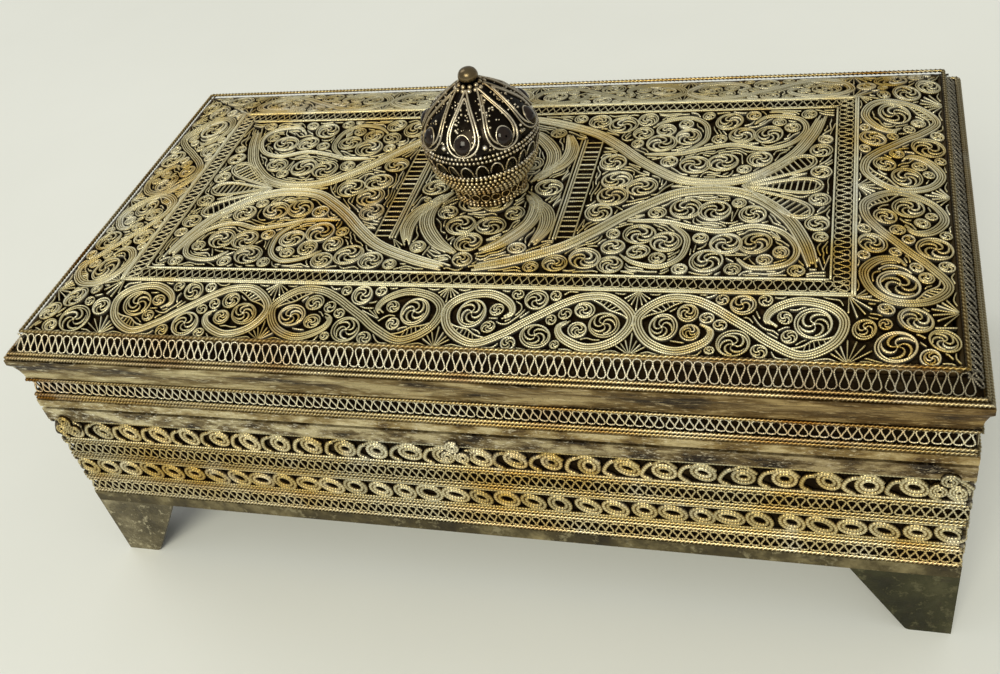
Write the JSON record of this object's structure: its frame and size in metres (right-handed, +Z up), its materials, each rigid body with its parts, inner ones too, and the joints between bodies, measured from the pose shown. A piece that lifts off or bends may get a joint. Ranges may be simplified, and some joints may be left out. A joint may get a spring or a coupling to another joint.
{
  "type": "filigree box",
  "caption": "Oblong metal filigree keepsake box on bracket feet, with scrollwork panels and a hinged lid lifted by an egg-shaped knob.",
  "frame": {"origin": "on the table, under the middle of the box", "axes": "+X to the right along the length, +Y from the front to the hinge side, +Z up"},
  "size_m": [0.16, 0.086, 0.0841],
  "materials": {
    "filigree": "old silver-gilt wire, tarnished in the hollows",
    "twisted_wire": "old silver-gilt twisted wire, rubbed bright on top",
    "plain_strip": "plain gilt strip, rubbed and stained",
    "moulding": "plain gilt moulding, brown with age",
    "sheet": "dull gilt sheet, scratched and stained",
    "liner": "matt dark lining sheet",
    "fittings": "dull gilt fittings",
    "knob": "dark oxidised metal with bright rubbed wires",
    "stones": "dark polished stones"
  },
  "bodies": {
    "base": {"front_wall_panel": "filigree", "right_wall_panel": "filigree", "back_wall_panel": "filigree", "left_wall_panel": "filigree", "plinth_strips": "plain_strip", "rim_strips": "plain_strip", "floor_plate": "sheet", "base_liner_floor": "liner", "base_liner_walls": "liner", "wall_twisted_wires": "twisted_wire", "front_coil_ornament": "twisted_wire", "corner_coil_ornaments": "twisted_wire", "back_right_foot": "sheet", "back_left_foot": "sheet", "front_right_foot": "sheet", "front_left_foot": "sheet", "base_hinge_knuckles": "fittings", "hinge_pin": "fittings"},
    "lid": {"centre_panel": "filigree", "frame_strips": "filigree", "front_skirt_panel": "filigree", "right_skirt_panel": "filigree", "back_skirt_panel": "filigree", "left_skirt_panel": "filigree", "front_bevel_panel": "filigree", "right_bevel_panel": "filigree", "back_bevel_panel": "filigree", "left_bevel_panel": "filigree", "front_border_panel": "filigree", "right_border_panel": "filigree", "back_border_panel": "filigree", "left_border_panel": "filigree", "lid_twisted_wires": "twisted_wire", "flange_strips": "plain_strip", "front_moulding": "moulding", "right_moulding": "moulding", "back_moulding": "moulding", "left_moulding": "moulding", "skirt_liner": "liner", "bevel_liner": "liner", "border_liner": "liner", "centre_liner": "liner", "lid_hinge_knuckles": "fittings", "knob_stud": "fittings", "knob_nut": "fittings", "knob_collar": "knob", "knob_bowl": "knob", "knob_dome": "knob", "knob_ball": "knob", "knob_stones": "stones"}
  },
  "joints": [
    {"name": "lid_hinge", "type": "hinge", "parent": "base", "child": "lid", "pos_m": [0, 0.0422, 0.0418], "axis": [-1, 0, 0], "range_deg": [0, 100]}
  ]
}
